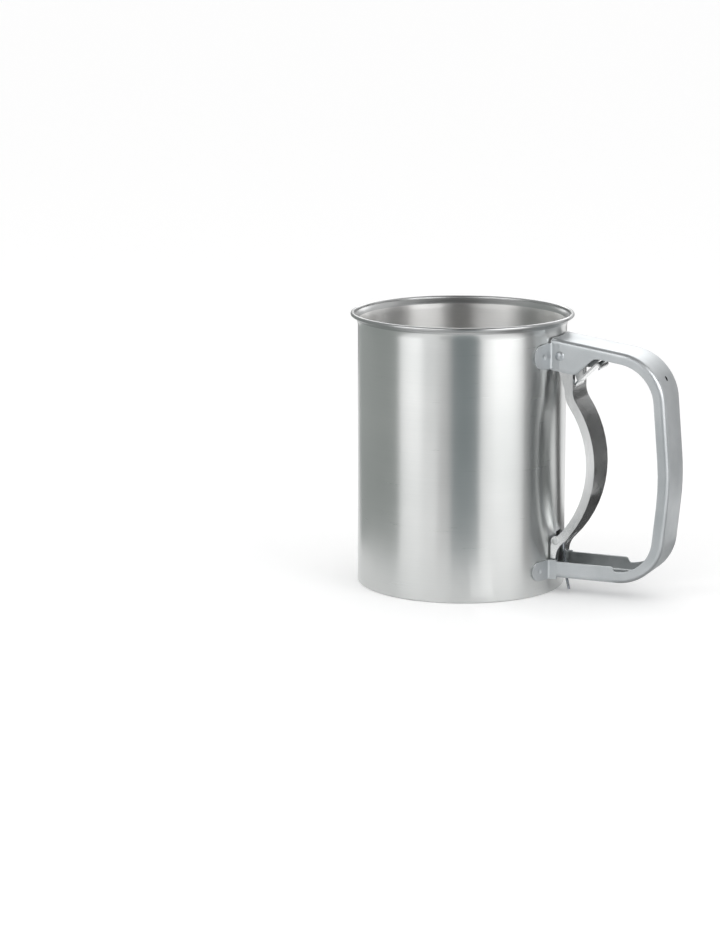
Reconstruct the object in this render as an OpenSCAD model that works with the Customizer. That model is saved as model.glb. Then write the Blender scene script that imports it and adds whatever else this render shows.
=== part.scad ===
// Squeeze-handle flour sifter.
// Millimetres, +Z up, +X towards the handle, origin on the cup's axis at the base.

/* [Cup] */
// Outside diameter of the cup wall
cup_d = 100; // [80:1:130]
// Height from the base to the top of the rim
cup_h = 131.5; // [115:0.5:170]
// Thickness of the cup's sheet
cup_sheet = 0.8; // [0.5:0.1:1.2]
// How far the rim stands out past the wall
rim_out = 3.5; // [2.5:0.1:6]
// Angle that the flare turns through below the bead
flare_angle = 55; // [40:1:75]
// Diameter of the rolled bead on the rim
bead_d = 2; // [1.6:0.1:3]
// Height of the folded hem at the base
hem_h = 3; // [2:0.5:6]

/* [Screen] */
// Height of the underside of the net above the base
screen_z = 11.5; // [10:0.5:18]
// Thickness of the net
net_t = 0.6; // [0.4:0.1:1]
// Spacing of the net's strands
net_pitch = 5.3; // [4.8:0.1:8]
// Width of a strand
net_strand = 0.9; // [0.6:0.1:1.5]
// Width of the plain border of the net
net_border = 3.4; // [2.5:0.1:6]
// Width of the ledge that carries the net
ledge_w = 3.2; // [2:0.1:5]
// Height of the seat ring's leg
seat_h = 4; // [2.5:0.1:6]
// Width of the clamp ring above the net
clamp_w = 2.6; // [2:0.1:4]
// Height of the clamp ring
clamp_h = 2.2; // [1.5:0.1:3]
// Thickness of the seat ring's sheet
ring_sheet = 0.8; // [0.5:0.1:1.2]

/* [Bearing] */
// Diameter of the axle
axle_d = 5; // [4:0.1:7]
// How much wider the axle's square end is than the axle
square_step = 0.4; // [0.2:0.1:1]
// How far the square end stands above the hub disc
axle_rise = 1.4; // [0.8:0.1:3]
// Diameter of the axle's lower head
axle_head_d = 9; // [7:0.1:12]
// Thickness of the axle's lower head
axle_head_h = 1.2; // [0.8:0.1:2]
// Wall of the bush
bush_wall = 1.2; // [0.8:0.1:2]
// Diameter of the bush flange and its backing washer
flange_d = 16; // [14:0.5:20]
// Thickness of the bush flange
flange_t = 0.8; // [0.5:0.1:1.2]
// Width of the lip that is peened over the backing washer
peen_w = 1; // [0.6:0.1:1.6]
// Thickness of that lip
peen_t = 0.7; // [0.4:0.1:1.2]
// Height of the bush above the net
bush_rise = 2.9; // [2:0.1:5]
// Thickness of the washers under the net
washer_t = 0.8; // [0.5:0.1:1.5]
// Diameter of the washer on the axle's head
axle_washer_d = 11; // [10:0.5:15]
// Height of the spacer under the wheel
spacer_h = 1.5; // [1:0.1:3]
// Wall of the spacer
spacer_wall = 1.5; // [1:0.1:2.5]

/* [Wheel] */
// Thickness of the wheel's plate
wheel_t = 1; // [0.6:0.1:1.5]
// Room between the wheel's tips and the clamp ring
tip_gap = 5; // [3:0.5:7]
// Width of the two bars that make a spoke
bar_w = 4.5; // [3.5:0.1:5.5]
// Width of the bars along the wheel's edge
edge_bar_w = 5; // [4:0.1:7]
// Width of a slit at its inner end
slit_in_w = 1.4; // [1:0.1:2]
// Width of a slit at its outer end
slit_out_w = 3.8; // [3:0.1:5]
// Distance of a slit from the hub disc
slit_gap = 2.5; // [1.5:0.1:4]
// Length of plate between the slit and the tip
tip_len = 8; // [6:0.5:12]
// Depth of the flanges that are turned down round the windows
vane_h = 3.4; // [2:0.1:3.9]
// Thickness of those flanges
vane_t = 0.9; // [0.6:0.1:1.2]
// Diameter of the hub disc
hub_d = 19; // [15:0.5:22]
// Thickness of the hub disc
hub_t = 1; // [0.6:0.1:2]
// Radius of the windows' corners
window_r = 1.6; // [1:0.1:2.2]

/* [Handle] */
// Reach of the handle past the cup wall
handle_reach = 58.6; // [50:0.1:75]
// Width across the flanges of the pressed strip
handle_w = 24; // [22:0.5:30]
// Thickness of the handle's sheet
handle_sheet = 0.9; // [0.6:0.1:1.2]
// Height of the underside of the lower arm
handle_z = 8.1; // [6:0.1:12]
// Distance of the upper arm below the rim, at the cup
handle_drop = 8.2; // [7.5:0.1:15]
// Fall of the upper arm from the cup to its corner
handle_fall = 7.8; // [4:0.1:12]
// How far the corners stand in from the outermost point
handle_lean = 5; // [3:0.1:8]
// Height of the outermost point above the lower arm
crest_h = 49.4; // [40:0.1:60]
// Radius of the upper bend
upper_bend_r = 25; // [15:0.5:30]
// Radius of the lower bend
lower_bend_r = 23; // [15:0.5:28]
// Radius of the swell between the bends
crest_r = 120; // [80:5:160]
// Depth of the handle's flanges
handle_flange = 5.4; // [4:0.1:7]
// Length of the ears from the cup wall
ear_len = 11.4; // [9:0.1:15]
// Depth of the ears at their outer end
ear_h = 17; // [15:0.1:20]
// Fall of the ears' lower edge along their length
ear_fall = 1.8; // [0.5:0.1:2.5]
// Length of the sloped edge between an ear and the flange
ear_slope_len = 9.2; // [8:0.1:16]
// Radius of the ears' corners
ear_r = 4; // [2:0.1:5]
// Length of the deep channel on the lower arm
channel_len = 32; // [30:0.5:38]
// Height of the deep channel
channel_h = 7.9; // [6.5:0.1:10]
// Radius of the channel's end corners
channel_r = 2; // [1:0.1:3]
// Radius of the upper tabs on the cup
upper_tab_r = 6; // [5:0.1:7]
// Radius of the lower tabs on the cup
lower_tab_r = 4.6; // [4:0.1:5.5]
// How far the tabs reach past the flanges
tab_reach = 11.1; // [8:0.1:13]
// Diameter of the hole in the upper bend
bend_hole_d = 2.2; // [1.5:0.1:3]
// Distance of that hole below the upper corner
bend_hole_drop = 9.7; // [8:0.1:12]
// Width of the slot in the lower arm
slot_w = 4.5; // [3.5:0.1:6]

/* [Trigger] */
// Room on each side of the trigger inside the handle
side_gap = 1.1; // [0.8:0.1:2]
// Thickness of the trigger's sheet
trigger_sheet = 0.9; // [0.6:0.1:1.2]
// Reach of the bow's crest past the cup wall
bow_reach = 20.9; // [17:0.1:26]
// Reach of the trigger's foot past the cup wall
foot_reach = 2.2; // [2:0.1:3]
// Reach of the trigger's neck past the cup wall
neck_reach = 9.6; // [8.5:0.1:11]
// Depth of the trigger's flanges
trigger_flange = 4.1; // [3:0.1:5]
// Radius of the bends between the bow and its ends
blend_r = 10; // [6:0.5:14]
// Height of the foot's lower edge above the lower arm
foot_gap = 3.2; // [2.5:0.1:5]
// Distance of the neck below the pivot
neck_drop = 19; // [17:0.5:24]
// Height of the top of the trigger's web above the neck's bend
lip_rise = 1.2; // [1.1:0.1:3]
// Distance below the pivot of the web's side strips, between which the stop tongue is turned out
strip_drop = 7; // [6:0.1:9]
// Gap between the tongue and the strips
lance_gap = 0.5; // [0.4:0.1:1]
// Width of the stop tongue
lip_w = 12; // [8:0.1:14]
// Inner radius of the tongue's bend
lip_r = 3; // [2:0.1:4]
// Angle that the tongue is turned out from upright
lip_angle = 45; // [35:1:60]
// Straight length of the tongue past its bend
lip_len = 12.6; // [8:0.1:14]
// Inner radius of the curl at the tongue's end
curl_r = 0.9; // [0.6:0.1:1.5]
// Angle that the curl turns through
curl_angle = 200; // [120:5:220]
// Angle of the trigger's full squeeze
squeeze_angle = 13; // [8:0.5:14]

/* [Pivot] */
// Distance of the pivot from the cup wall
pivot_reach = 3.6; // [3.6:0.1:5]
// Distance of the pivot below the upper arm's top at the cup
pivot_drop = 8.4; // [8:0.1:10]
// Diameter of the pivot pin
pivot_d = 2.8; // [2.4:0.1:3]
// Diameter of the pivot pin's heads
pivot_head_d = 4.6; // [4:0.1:7]
// Height of the pivot pin's heads
pivot_head_h = 0.8; // [0.6:0.1:1.6]
// Radius of the trigger's ears round the pivot
trigger_ear_r = 3.9; // [3.5:0.1:4]
// Diameter of the washers between the ears
pivot_washer_d = 6.4; // [5.5:0.1:7]

/* [Link] */
// Height of the link above the wheel's plate
link_rise = 7.9; // [6:0.1:10]
// Width of the link
link_w = 5; // [4:0.1:6]
// Thickness of the link
link_t = 1.2; // [0.8:0.1:1.6]
// Diameter of the link pin
link_pin_d = 2; // [1.6:0.1:2.2]
// Wall of the link's eye
eye_wall = 0.85; // [0.7:0.05:0.9]
// Wall of the collars beside the eye
collar_wall = 0.5; // [0.4:0.05:0.55]
// Diameter of the link pin's heads
link_head_d = 3.6; // [3:0.1:4.5]
// Height of the link pin's heads
link_head_h = 0.6; // [0.4:0.1:0.8]
// Distance of the link pin from the cup wall
link_pin_reach = 1.9; // [1.9:0.05:2.2]
// Height of the link pin above the end of the trigger's bow
link_pin_rise = 4; // [3.5:0.1:5]
// Radius of the trigger's lugs round the link pin
lug_r = 2.25; // [2:0.05:2.3]
// Straight length of the link that slides through the wall
link_straight = 26; // [25:0.5:30]
// Diameter of the drive peg
peg_d = 1.8; // [1.5:0.1:2]
// Distance of the peg inside the slit's outer end
peg_inset = 9; // [8:0.1:12]
// How far the peg reaches below the wheel's plate
peg_reach = 2.2; // [2:0.1:3]
// Diameter of the peg's riveted head
peg_head_d = 4; // [3.5:0.1:5]
// Height of the peg's riveted head
peg_head_h = 0.8; // [0.5:0.1:1.5]
// Room round the link in the wall slot
wall_slot_gap = 0.6; // [0.5:0.1:1]

/* [Spring] */
// Diameter of the spring wire
wire_d = 1.3; // [1:0.1:1.4]
// Radius of the coil at the middle of the wire
coil_r = 2.6; // [2.5:0.05:2.7]
// Length of the coil along the pivot pin
coil_len = 9.5; // [8:0.1:11]
// Whole turns in the coil
coil_turns = 4; // [2:1:4]
// Length of the short leg under the upper arm
short_leg = 12.4; // [9:0.1:16]
// Room between the short leg's end and the upper arm
leg_room = 0.4; // [0.3:0.1:1]
// Reach of the long leg past the cup wall, at the lower arm
leg_reach = 4.6; // [4.6:0.1:6]
// Room between the long leg and the inside of the trigger's bow
bow_room = 0.4; // [0.3:0.1:0.8]
// Reach of the tail's tip past the cup wall
tail_reach = 6.8; // [6:0.1:9]
// How far the tail's tip stands to the near side
tail_side = 3; // [1:0.5:5]
// Height of the tail's tip above the base
tail_z = 1; // [1:0.1:3]

/* [Fits] */
// Clearance round a turning pin
run_fit = 0.05; // [0.02:0.01:0.1]
// Clearance of a fixed pin or a seated piece
seat_fit = 0.03; // [0.01:0.01:0.05]
// End play between turning faces
end_play = 0.15; // [0.1:0.05:0.3]
// Room between the trigger's flanges and the cup
trigger_gap = 0.4; // [0.3:0.1:0.8]

/* [Hidden] */
$fn = 96;
wall_fn = 180;
bead_fn = 32;
arc_step = 6;
small_r = 4.5;
small_step = 15;
turn_steps = 8;
wire_sides = 6;
reach_past = 1;
spokes = 6;
half_step = 180 / spokes;
ear_tilt = 30;

// Cup
cup_r = cup_d / 2;
cup_in_r = cup_r - cup_sheet;
bead_r = bead_d / 2;
flare_r = (rim_out - bead_r + cup_sheet / 2) / (1 - cos(flare_angle));
flare_z = cup_h - bead_r - flare_r * sin(flare_angle);

// Screen and bearing, from the net outwards
ring_r = cup_in_r - seat_fit;
net_r = ring_r - ring_sheet;
net_top_z = screen_z + net_t;
clamp_in_r = ring_r - clamp_w;
bush_in_r = axle_d / 2 + run_fit;
bush_r = bush_in_r + bush_wall;
backing_z = screen_z - washer_t;
bush_z = backing_z - peen_t;
bush_top_z = net_top_z + bush_rise;
axle_washer_z = bush_z - end_play - washer_t;
axle_head_z = axle_washer_z - axle_head_h;
axle_square = axle_d + square_step;
spacer_z = bush_top_z + end_play;
wheel_z = spacer_z + spacer_h;
wheel_top_z = wheel_z + wheel_t;
hub_top_z = wheel_top_z + hub_t;

// Wheel
wheel_r = clamp_in_r - tip_gap;
edge_r = wheel_r * cos(half_step);
slit_in_r = hub_d / 2 + slit_gap;
slit_out_r = wheel_r - tip_len;
slit_taper = (slit_out_w - slit_in_w) / 2 / (slit_out_r - slit_in_r);

// Handle
handle_top_z = cup_h - handle_drop;
handle_x = cup_r + handle_reach;
handle_corners = [
    [0, handle_top_z + handle_fall * cup_r / (handle_reach - handle_lean), 0],
    [handle_x - handle_lean, handle_top_z - handle_fall, upper_bend_r],
    [handle_x, handle_z + crest_h, crest_r],
    [handle_x - handle_lean, handle_z, lower_bend_r],
    [0, handle_z, 0]
];
handle_in_w = handle_w - 2 * handle_sheet;
bend_hole_z = handle_top_z - handle_fall - bend_hole_drop;
lower_tab_z = handle_z + channel_h / 2;

// Trigger and its pivot
pivot_x = cup_r + pivot_reach;
pivot_z = handle_top_z - pivot_drop;
link_z = wheel_top_z + link_rise;
foot_top_z = link_z - link_pin_rise;
foot_z = handle_z + foot_gap;
foot_x = cup_r + foot_reach;
neck_x = cup_r + neck_reach;
bow_half = (pivot_z - neck_drop - foot_top_z) / 2;
bow_sag = bow_reach - (foot_reach + neck_reach) / 2;
bow_r = (bow_half * bow_half + bow_sag * bow_sag) / (2 * bow_sag);
bow_x = cup_r + bow_reach - bow_r;
bow_z = foot_top_z + sqrt(pow(bow_r, 2) - pow(foot_x - bow_x, 2));
lip_z = neck_bend_z() + lip_rise;
strip_z = pivot_z - strip_drop;
trigger_w = handle_in_w - 2 * side_gap;
trigger_in_w = trigger_w - 2 * trigger_sheet;
strip_w = (trigger_w - lip_w) / 2 - lance_gap;

// Link and wheel drive: the trigger's swing gives the link's stroke, and that the wheel's turn
link_pin_x = cup_r + link_pin_reach;
pin_arm_x = link_pin_x - pivot_x;
pin_arm_z = link_z - pivot_z;
stroke = pin_arm_x * cos(squeeze_angle) - pin_arm_z * sin(squeeze_angle) - pin_arm_x;
lift = pin_arm_x * sin(squeeze_angle) + pin_arm_z * cos(squeeze_angle) - pin_arm_z;
peg_y = -(slit_out_r - peg_inset);
peg_x = -stroke / 2;
wheel_rest = atan2(peg_y, peg_x);
wheel_turn = 2 * atan2(stroke / 2, -peg_y);
peg_z = wheel_z - peg_reach;
eye_r = link_pin_d / 2 + run_fit + eye_wall;
collar_r = link_pin_d / 2 + seat_fit + collar_wall;
wall_slot_w = link_w + 2 * wall_slot_gap;
wall_slot_z = link_z - link_t / 2 - wall_slot_gap;
wall_slot_h = link_t + lift + 2 * wall_slot_gap;

// Spring: the tail's tip, the long leg, the coil and the short leg
wire_r = wire_d / 2;
leg_y = -coil_len / 2;
leg_z = handle_z + handle_sheet / 2;
leg_x = cup_r + leg_reach;
leg_in_y = wire_r + leg_room - slot_w / 2;
leg_rest_x = link_pin_x + collar_r + wire_r + end_play;
leg_depth = trigger_sheet + bow_room + wire_r;
leg_join_z = link_z + blend_r;
notch_z = link_z + eye_r + wall_slot_gap;
arm_slope = handle_fall / (handle_reach - handle_lean);
short_leg_drop = pivot_drop - arm_slope * (pivot_reach + short_leg) - handle_sheet - wire_r - leg_room;
slot_x = leg_x - slot_w / 2;
tail_lean = (cup_r + tail_reach - leg_x) / (leg_z - tail_z);
tail_lift = (leg_x - pivot_x) * sin(squeeze_angle) + (pivot_z - leg_z) * (1 - cos(squeeze_angle));
slot_end_x = pivot_x + (leg_x + tail_lean * tail_lift - pivot_x) * cos(squeeze_angle)
    + (pivot_z - leg_z + tail_lift) * sin(squeeze_angle) + slot_w / 2;

echo(stroke = stroke, lift = lift, wheel_rest = wheel_rest, wheel_turn = wheel_turn,
    ratio = wheel_turn / squeeze_angle);
echo(pivot = [pivot_x, pivot_z], link_pin = [link_pin_x, link_z], wheel_z = wheel_z, bow_r = bow_r);

// Outlines with rounded corners: each corner is [x, y, radius]
function unit(v) = v / norm(v);
function turned(v, a) = [v.x * cos(a) + v.y * sin(a), v.y * cos(a) - v.x * sin(a)];
function flat(c) = [c.x, c.y];
function arc_steps(r, bend) = max(1, ceil(bend / (r < small_r ? small_step : arc_step)));
function round_corner(a, b, c) =
    let (u = unit(flat(b) - flat(a)), v = unit(flat(c) - flat(b)))
    let (side = cross(u, v) < 0 ? 1 : -1, bend = acos(max(-1, min(1, u * v))))
    let (n = side * [u.y, -u.x], start = flat(b) - b[2] * tan(bend / 2) * u)
    let (centre = start + b[2] * n, steps = arc_steps(b[2], bend))
    b[2] == 0 || bend < 0.1 ? [flat(b)]
        : [for (i = [0:steps]) centre - b[2] * turned(n, side * bend * i / steps)];
function round_path(c) = [
    for (i = [0:len(c) - 1])
        each i == 0 || i == len(c) - 1 ? [flat(c[i])] : round_corner(c[i - 1], c[i], c[i + 1])
];
function round_loop(c) = let (n = len(c)) [
    for (i = [0:n - 1]) each round_corner(c[(i + n - 1) % n], c[i], c[(i + 1) % n])
];
function right_of(a, b) = let (u = unit(flat(b) - flat(a))) [u.y, -u.x];
function inset_corner(c, i, d) =
    let (last = len(c) - 1)
    let (p = right_of(c[max(i - 1, 0)], c[max(i, 1)]), q = right_of(c[min(i, last - 1)], c[min(i + 1, last)]))
    let (m = d * (p + q) / (1 + p * q))
    [c[i].x + m.x, c[i].y + m.y, max(c[i][2] - d, 0)];
function inset(c, d) = [for (i = [0:len(c) - 1]) inset_corner(c, i, d)];
function reversed(p) = [for (i = [len(p) - 1:-1:0]) p[i]];
function arc(centre, r, a, b) =
    let (steps = arc_steps(r, abs(b - a)))
    [for (i = [0:steps]) let (t = a + (b - a) * i / steps) centre + r * [cos(t), sin(t)]];

// A side outline, drawn in X and Z, as a plate from y0 to y1
module across(y0, y1) {
    translate([0, y1, 0]) rotate([90, 0, 0]) linear_extrude(y1 - y0) children();
}

module ring(r_in, r_out, h) {
    difference() {
        cylinder(r = r_out, h = h);
        translate([0, 0, -reach_past]) cylinder(r = r_in, h = h + 2 * reach_past);
    }
}

// A pin along Y
module y_pin(r, length) {
    rotate([90, 0, 0]) cylinder(r = r, h = length, center = true);
}

// A domed rivet head that rises along +Z
module dome(d, h) {
    ball_r = (d * d / 4 + h * h) / (2 * h);
    rotate_extrude() intersection() {
        translate([0, h - ball_r]) circle(r = ball_r);
        square([d / 2, h]);
    }
}

// A pin along Y with a domed head at each end
module riveted_pin(d, length, head_d, head_h) {
    y_pin(d / 2, length);
    for (turn = [-90, 90]) rotate([turn, 0, 0]) translate([0, 0, length / 2]) dome(head_d, head_h);
}

// Line of the cup's sheet, at a depth d inside its outer face
function cup_line(d) = concat(
    [[cup_r - d, 0]],
    arc([cup_r - cup_sheet / 2 + flare_r, flare_z], flare_r - cup_sheet / 2 + d, 180, 180 - flare_angle)
);

module cup_shell() {
    color("silver") difference() {
        rotate_extrude($fn = wall_fn) {
            polygon(concat(cup_line(0), reversed(cup_line(cup_sheet))));
            translate([cup_r + rim_out - bead_r, cup_h - bead_r]) circle(r = bead_r, $fn = bead_fn);
            translate([cup_r - 2 * cup_sheet, 0]) square([cup_sheet + seat_fit, hem_h]);
        }
        translate([cup_in_r - reach_past, -wall_slot_w / 2, wall_slot_z])
            cube([cup_sheet + 2 * reach_past, wall_slot_w, wall_slot_h]);
    }
}

module screen_seat_ring() {
    color("gainsboro") {
        translate([0, 0, screen_z - ring_sheet]) ring(ring_r - ledge_w, ring_r, ring_sheet);
        translate([0, 0, screen_z - seat_h]) ring(ring_r - ring_sheet, ring_r, seat_h);
    }
}

// Places of the net's square gaps, inside a circle and clear of the bush flange
net_gap = net_pitch - net_strand;
net_open_r = net_r - net_border;
net_n = ceil(net_open_r / net_pitch);
net_places = [
    for (i = [-net_n:net_n], j = [-net_n:net_n])
        let (p = net_pitch * [i, j], far = norm([abs(p.x), abs(p.y)] + [net_gap, net_gap] / 2))
        if (far < net_open_r && norm(p) > flange_d / 2) p
];

module screen_mesh() {
    color("lightgray") translate([0, 0, screen_z]) linear_extrude(net_t) difference() {
        circle(r = net_r);
        circle(r = bush_r + seat_fit);
        for (p = net_places) translate(p) square(net_gap, center = true);
    }
}

module screen_clamp_ring() {
    color("gainsboro") rotate_extrude($fn = wall_fn) translate([clamp_in_r, net_top_z]) {
        translate([clamp_h / 2, clamp_h / 2]) circle(d = clamp_h, $fn = bead_fn);
        translate([clamp_h / 2, 0]) square([clamp_w - clamp_h / 2, clamp_h]);
    }
}

module bearing_bush() {
    color("darkgray") {
        translate([0, 0, bush_z]) ring(bush_in_r, bush_r, bush_top_z - bush_z);
        translate([0, 0, net_top_z]) ring(bush_in_r, flange_d / 2, flange_t);
        translate([0, 0, bush_z]) ring(bush_in_r, bush_r + peen_w, peen_t);
    }
}

module backing_washer() {
    color("silver") translate([0, 0, backing_z]) ring(bush_r + seat_fit, flange_d / 2, washer_t);
}

module axle() {
    color("gray") {
        translate([0, 0, axle_head_z]) cylinder(d = axle_head_d, h = axle_head_h);
        translate([0, 0, axle_head_z]) cylinder(d = axle_d, h = hub_top_z - axle_head_z);
        rotate(wheel_rest) translate([0, 0, wheel_z])
            linear_extrude(wheel_t + hub_t + axle_rise) square(axle_square, center = true);
    }
}

module axle_washer() {
    color("silver") translate([0, 0, axle_washer_z]) ring(axle_d / 2 + seat_fit, axle_washer_d / 2, washer_t);
}

module rotor_spacer() {
    hole_r = axle_d / 2 + seat_fit;
    color("darkgray") translate([0, 0, spacer_z]) ring(hole_r, hole_r + spacer_wall, spacer_h);
}

// Window between two spokes, pointing along +X and grown outwards by g
function window_half(w, g) =
    let (b = slit_taper, a = slit_in_w / 2 + bar_w - b * slit_in_r - g)
    (w * (sin(half_step) - b * cos(half_step)) - a) / (cos(half_step) + b * sin(half_step));
function window_apex(g) =
    let (b = slit_taper, a = slit_in_w / 2 + bar_w - b * slit_in_r - g)
    a / (sin(half_step) - b * cos(half_step));
function window_corners(g) =
    let (base = edge_r - edge_bar_w + g, half = window_half(base, g), r = window_r + g)
    [[window_apex(g), 0, r], [base, -half, r], [base, half, r]];

module window(g) {
    polygon(round_loop(window_corners(g)));
}

module wheel_outline(g) {
    r = wheel_r + g / cos(half_step);
    polygon(round_loop([
        for (k = [0:spokes - 1]) let (a = 2 * half_step * k) [r * cos(a), -r * sin(a), window_r]
    ]));
}

module slit() {
    polygon([
        [slit_in_r, -slit_in_w / 2], [slit_out_r, -slit_out_w / 2],
        [slit_out_r, slit_out_w / 2], [slit_in_r, slit_in_w / 2]
    ]);
    translate([slit_out_r, 0]) circle(d = slit_out_w, $fn = bead_fn);
}

module each_window() {
    for (k = [0:spokes - 1]) rotate(half_step * (2 * k + 1)) children();
}

// A plate whose edges are all turned down, hollow from below
module rotor_wheel() {
    color("dimgray") rotate(wheel_rest) difference() {
        translate([0, 0, wheel_z - vane_h]) linear_extrude(vane_h + wheel_t) difference() {
            wheel_outline(0);
            each_window() window(0);
        }
        translate([0, 0, wheel_z - vane_h - reach_past]) linear_extrude(vane_h + reach_past) difference() {
            wheel_outline(-vane_t);
            each_window() window(vane_t);
        }
        translate([0, 0, wheel_z - reach_past]) linear_extrude(wheel_t + 2 * reach_past) {
            for (k = [0:spokes - 1]) rotate(2 * half_step * k) slit();
            square(axle_square + 2 * seat_fit, center = true);
        }
    }
}

module hub_disc() {
    color("gray") rotate(wheel_rest) translate([0, 0, wheel_top_z]) linear_extrude(hub_t) difference() {
        circle(d = hub_d);
        square(axle_square + 2 * seat_fit, center = true);
    }
}

// Side outlines of the handle's strip
module handle_band(depth) {
    polygon(concat(round_path(handle_corners), reversed(round_path(inset(handle_corners, depth)))));
}

module handle_ear() {
    ear_x = cup_r + ear_len;
    ear_z = handle_top_z - ear_h;
    slope_x = ear_x + ear_slope_len;
    flange_z = handle_top_z - arm_slope * (slope_x - cup_r) - handle_flange;
    intersection() {
        polygon(round_path(handle_corners));
        polygon(round_path([
            [0, ear_z + ear_fall * ear_x / ear_len, 0], [ear_x, ear_z, ear_r], [slope_x, flange_z, ear_r],
            [slope_x + ear_r, flange_z - arm_slope * ear_r, 0], [slope_x + ear_r, cup_h, 0], [0, cup_h, 0]
        ]));
    }
}

module handle_channel() {
    intersection() {
        polygon(round_path(handle_corners));
        polygon(round_path([
            [0, handle_z, 0], [0, handle_z + channel_h, 0],
            [cup_r + channel_len, handle_z + channel_h, channel_r], [cup_r + channel_len, handle_z, 0]
        ]));
    }
}

module tab_outline(r, z) {
    for (side = [0, 1]) mirror([side, 0]) {
        translate([handle_w / 2 + tab_reach - r, z]) circle(r = r);
        translate([handle_in_w / 2, z - r]) square([handle_sheet + tab_reach - r, 2 * r]);
    }
}

module handle() {
    color("lightsteelblue") difference() {
        union() {
            difference() {
                union() {
                    across(-handle_w / 2, handle_w / 2) handle_band(handle_sheet);
                    for (y = [-handle_w / 2, handle_in_w / 2]) across(y, y + handle_sheet) {
                        handle_band(handle_flange);
                        handle_ear();
                        handle_channel();
                    }
                }
                translate([0, 0, -reach_past]) cylinder(r = cup_r + seat_fit, h = 2 * cup_h, $fn = wall_fn);
            }
            intersection() {
                ring(cup_r + seat_fit, cup_r + seat_fit + handle_sheet, cup_h, $fn = wall_fn);
                rotate([90, 0, 90]) linear_extrude(cup_d) {
                    tab_outline(upper_tab_r, pivot_z);
                    tab_outline(lower_tab_r, lower_tab_z);
                }
            }
        }
        translate([pivot_x, 0, pivot_z]) y_pin(pivot_d / 2 + seat_fit, handle_w + 2 * reach_past);
        translate([handle_x - upper_bend_r, 0, bend_hole_z])
            rotate([0, 90, 0]) cylinder(d = bend_hole_d, h = upper_bend_r + reach_past, $fn = bead_fn);
        translate([slot_x, -slot_w / 2, handle_z - reach_past])
            cube([slot_end_x - slot_x, slot_w, handle_sheet + 2 * reach_past]);
    }
}

module pivot_pin() {
    color("silver") translate([pivot_x, 0, pivot_z])
        riveted_pin(pivot_d, handle_w + 2 * seat_fit, pivot_head_d, pivot_head_h);
}

module pivot_washer(side) {
    color("silver") translate([pivot_x, side * (trigger_w + side_gap) / 2, pivot_z]) difference() {
        y_pin(pivot_washer_d / 2, side_gap - 2 * end_play);
        y_pin(pivot_d / 2 + seat_fit, side_gap + reach_past);
    }
}

module pivot_washer_near() {
    pivot_washer(-1);
}

module pivot_washer_far() {
    pivot_washer(1);
}

// Line of the trigger's strip, at a depth d behind its outer face, from the foot up to the top of its web
function foot_bend_z() = bow_z - sqrt(pow(bow_r + blend_r, 2) - pow(foot_x + blend_r - bow_x, 2));
function neck_bend_z() = bow_z + sqrt(pow(bow_r + blend_r, 2) - pow(neck_x + blend_r - bow_x, 2));
function bow_angle(x, z) = atan2(z - bow_z, x + blend_r - bow_x);
function trigger_line(d) =
    let (low = bow_angle(foot_x, foot_bend_z()), high = bow_angle(neck_x, neck_bend_z()))
    concat(
        [[foot_x - d, foot_z]],
        arc([foot_x + blend_r, foot_bend_z()], blend_r + d, 180, 180 + low),
        arc([bow_x, bow_z], bow_r - d, low, high),
        arc([neck_x + blend_r, neck_bend_z()], blend_r + d, 180 + high, 180),
        [[neck_x - d, lip_z]]
    );

// The tongue turns out from the top of the web, and its end curls down
function lip_line(d) =
    let (bend = [neck_x + lip_r, lip_z], a = 180 - lip_angle)
    let (end = bend + lip_r * [cos(a), sin(a)] + lip_len * [sin(a), -cos(a)])
    concat(
        [[neck_x - d, neck_bend_z()]],
        arc(bend, lip_r + d, 180, a),
        arc(end - curl_r * [cos(a), sin(a)], curl_r + d, a, a - curl_angle)
    );

module trigger_web() {
    polygon(concat(trigger_line(0), reversed(trigger_line(trigger_sheet))));
}

module trigger_lip() {
    polygon(concat(lip_line(0), reversed(lip_line(trigger_sheet))));
}

module trigger_strip() {
    translate([neck_x - trigger_sheet, neck_bend_z()]) square([trigger_sheet, strip_z - neck_bend_z()]);
}

module trigger_side() {
    ear_in = trigger_ear_r - trigger_sheet / 2;
    wall_x = sqrt(pow(cup_r, 2) - pow(trigger_in_w / 2, 2));
    intersection() {
        union() {
            polygon(concat(trigger_line(0), reversed(trigger_line(trigger_flange))));
            translate([link_pin_x, link_z]) circle(r = lug_r);
            translate([pivot_x, pivot_z]) circle(r = trigger_ear_r);
            polygon([
                [neck_x, lip_z - reach_past], [neck_x, strip_z],
                [pivot_x + ear_in * cos(ear_tilt), pivot_z + ear_in * sin(ear_tilt)],
                [pivot_x - ear_in * cos(ear_tilt), pivot_z - ear_in * sin(ear_tilt)],
                [neck_x - trigger_flange, lip_z - reach_past]
            ]);
        }
        translate([wall_x + trigger_gap, 0]) square([handle_reach, cup_h]);
    }
}

module trigger() {
    notch_near = leg_y - wire_r - wall_slot_gap;
    notch_far = link_w / 2 + wall_slot_gap;
    color("whitesmoke") difference() {
        union() {
            across(-trigger_w / 2, trigger_w / 2) trigger_web();
            across(-lip_w / 2, lip_w / 2) trigger_lip();
            for (y = [-trigger_w / 2, trigger_w / 2 - strip_w]) across(y, y + strip_w) trigger_strip();
            for (y = [-trigger_w / 2, trigger_in_w / 2]) across(y, y + trigger_sheet) trigger_side();
        }
        translate([pivot_x, 0, pivot_z]) y_pin(pivot_d / 2 + run_fit, handle_w);
        translate([link_pin_x, 0, link_z]) y_pin(link_pin_d / 2 + seat_fit, handle_w);
        translate([cup_r, notch_near, 0])
            cube([bow_reach, notch_far - notch_near, notch_z]);
    }
}

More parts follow.
